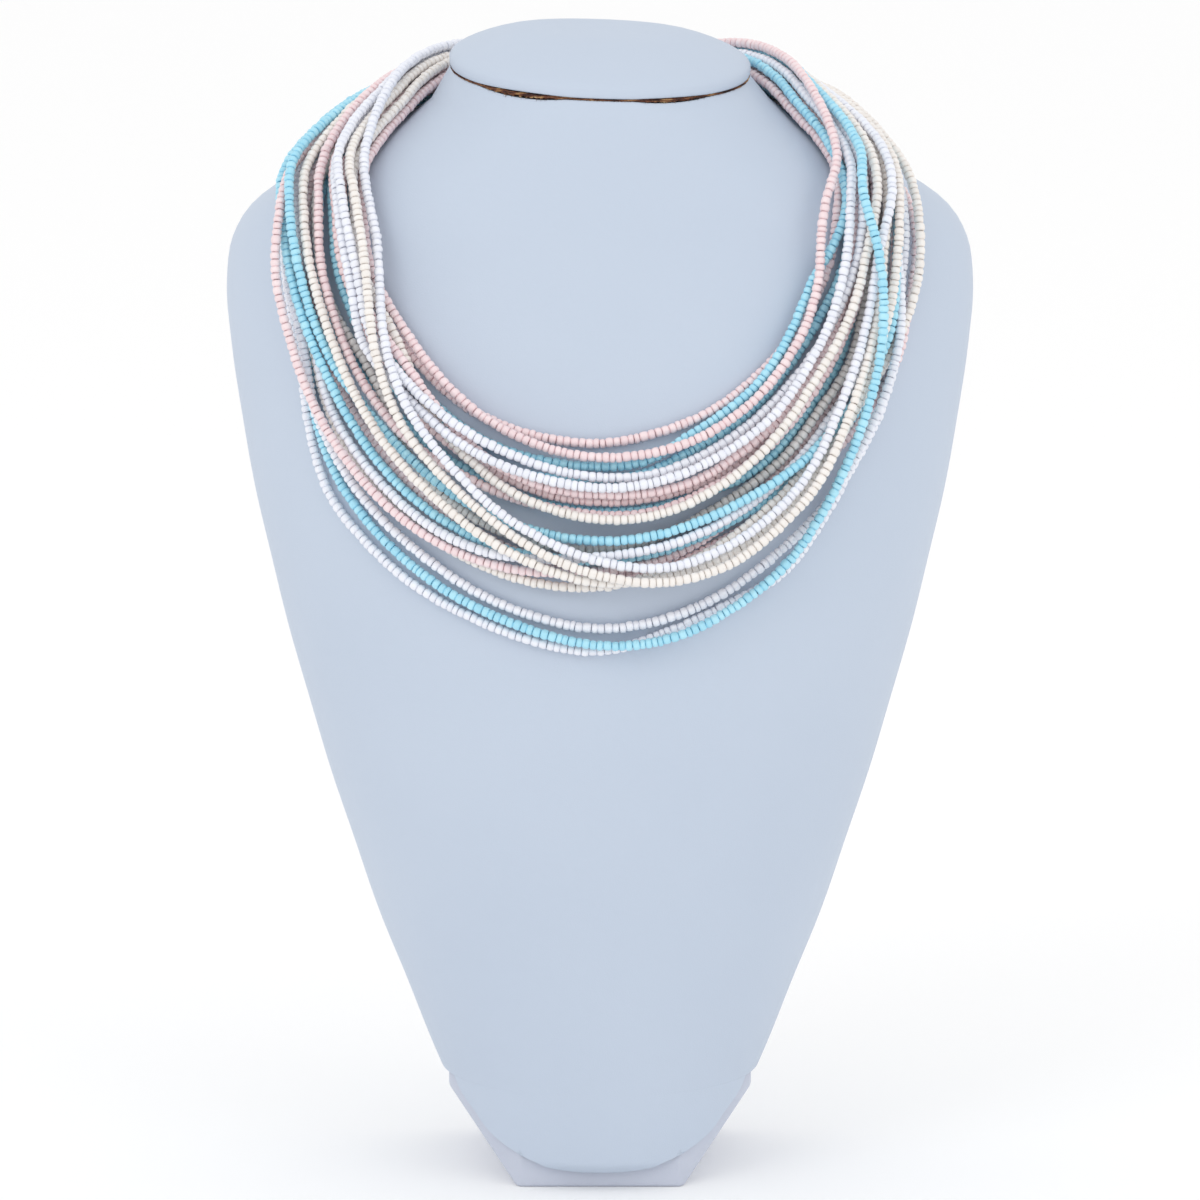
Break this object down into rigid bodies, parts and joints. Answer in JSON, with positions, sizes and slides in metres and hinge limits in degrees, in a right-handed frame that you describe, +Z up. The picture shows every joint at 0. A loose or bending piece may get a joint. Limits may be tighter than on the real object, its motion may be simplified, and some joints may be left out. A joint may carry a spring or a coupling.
{
  "type": "multi strand necklace with neck bust",
  "caption": "Many loose strands of small opaque glass seed beads on one clasp, draped round a plain padded neck display bust on a foot.",
  "frame": {"origin": "centre of the foot's face on the floor", "axes": "+Z up, -Y the way the chest faces, +X to the right of someone who looks at the chest"},
  "size_m": [0.224, 0.1388, 0.3451],
  "materials": {
    "bust_cover": "white faux leather, fine grain, soft sheen",
    "board": "torn brown board edge",
    "clasp_metal": "plain, satin",
    "beads_white": "opaque glass, white, satin",
    "beads_blue": "opaque glass, pale sky blue, satin",
    "beads_pink": "opaque glass, pale pink, satin",
    "beads_cream": "opaque glass, cream, satin",
    "beads_grey_cream": "opaque glass, greyish cream, satin"
  },
  "bodies": {
    "root": {"bust_body": "bust_cover", "neck_cap": "bust_cover", "cap_board": "board", "bust_foot": "bust_cover", "clasp": "clasp_metal", "strand_01": "beads_white", "strand_02": "beads_blue", "strand_03": "beads_white", "strand_04": "beads_pink", "strand_05": "beads_cream", "strand_06": "beads_white", "strand_07": "beads_pink", "strand_08": "beads_blue", "strand_09": "beads_blue", "strand_10": "beads_cream", "strand_11": "beads_grey_cream", "strand_12": "beads_pink", "strand_13": "beads_blue", "strand_14": "beads_blue", "strand_15": "beads_white", "strand_16": "beads_white", "strand_17": "beads_blue", "strand_18": "beads_cream", "strand_19": "beads_pink", "strand_20": "beads_pink", "strand_21": "beads_cream", "strand_22": "beads_pink", "strand_23": "beads_pink", "strand_24": "beads_white"}
  },
  "joints": []
}
